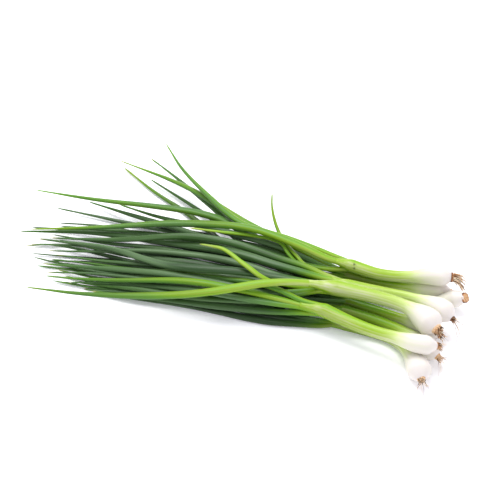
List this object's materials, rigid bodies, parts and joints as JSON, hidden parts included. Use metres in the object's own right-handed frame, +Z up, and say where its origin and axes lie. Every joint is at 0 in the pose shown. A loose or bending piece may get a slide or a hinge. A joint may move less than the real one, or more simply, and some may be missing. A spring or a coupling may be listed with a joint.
{
  "type": "spring onion bunch",
  "caption": "Loose bunch of fresh spring onions lying on its side: small white bulbs with trimmed roots, pale shanks and long tapering green leaves.",
  "frame": {"origin": "middle of the bunch's footprint, on the surface that it lies on", "axes": "+X towards the bulbs, so the leaf tips are at -X; +Z up; +Y towards the back of the bunch"},
  "size_m": [0.4257, 0.2622, 0.0454],
  "materials": {
    "bulb_and_shank": "smooth moist white skin, turning pale yellow-green up the shank",
    "leaf": "satin green with a thin waxy bloom",
    "root": "dry fibrous tan"
  },
  "bodies": {
    "root": {"onion_1_bulb": "bulb_and_shank", "onion_1_leaves": "leaf", "onion_1_roots": "root", "onion_2_bulb": "bulb_and_shank", "onion_2_leaves": "leaf", "onion_2_roots": "root", "onion_3_bulb": "bulb_and_shank", "onion_3_leaves": "leaf", "onion_3_roots": "root", "onion_4_bulb": "bulb_and_shank", "onion_4_leaves": "leaf", "onion_4_roots": "root", "onion_5_bulb": "bulb_and_shank", "onion_5_leaves": "leaf", "onion_5_roots": "root", "onion_6_bulb": "bulb_and_shank", "onion_6_leaves": "leaf", "onion_6_roots": "root", "onion_7_bulb": "bulb_and_shank", "onion_7_leaves": "leaf", "onion_7_roots": "root", "onion_8_bulb": "bulb_and_shank", "onion_8_leaves": "leaf", "onion_8_roots": "root", "onion_9_bulb": "bulb_and_shank", "onion_9_leaves": "leaf", "onion_9_roots": "root"}
  },
  "joints": []
}
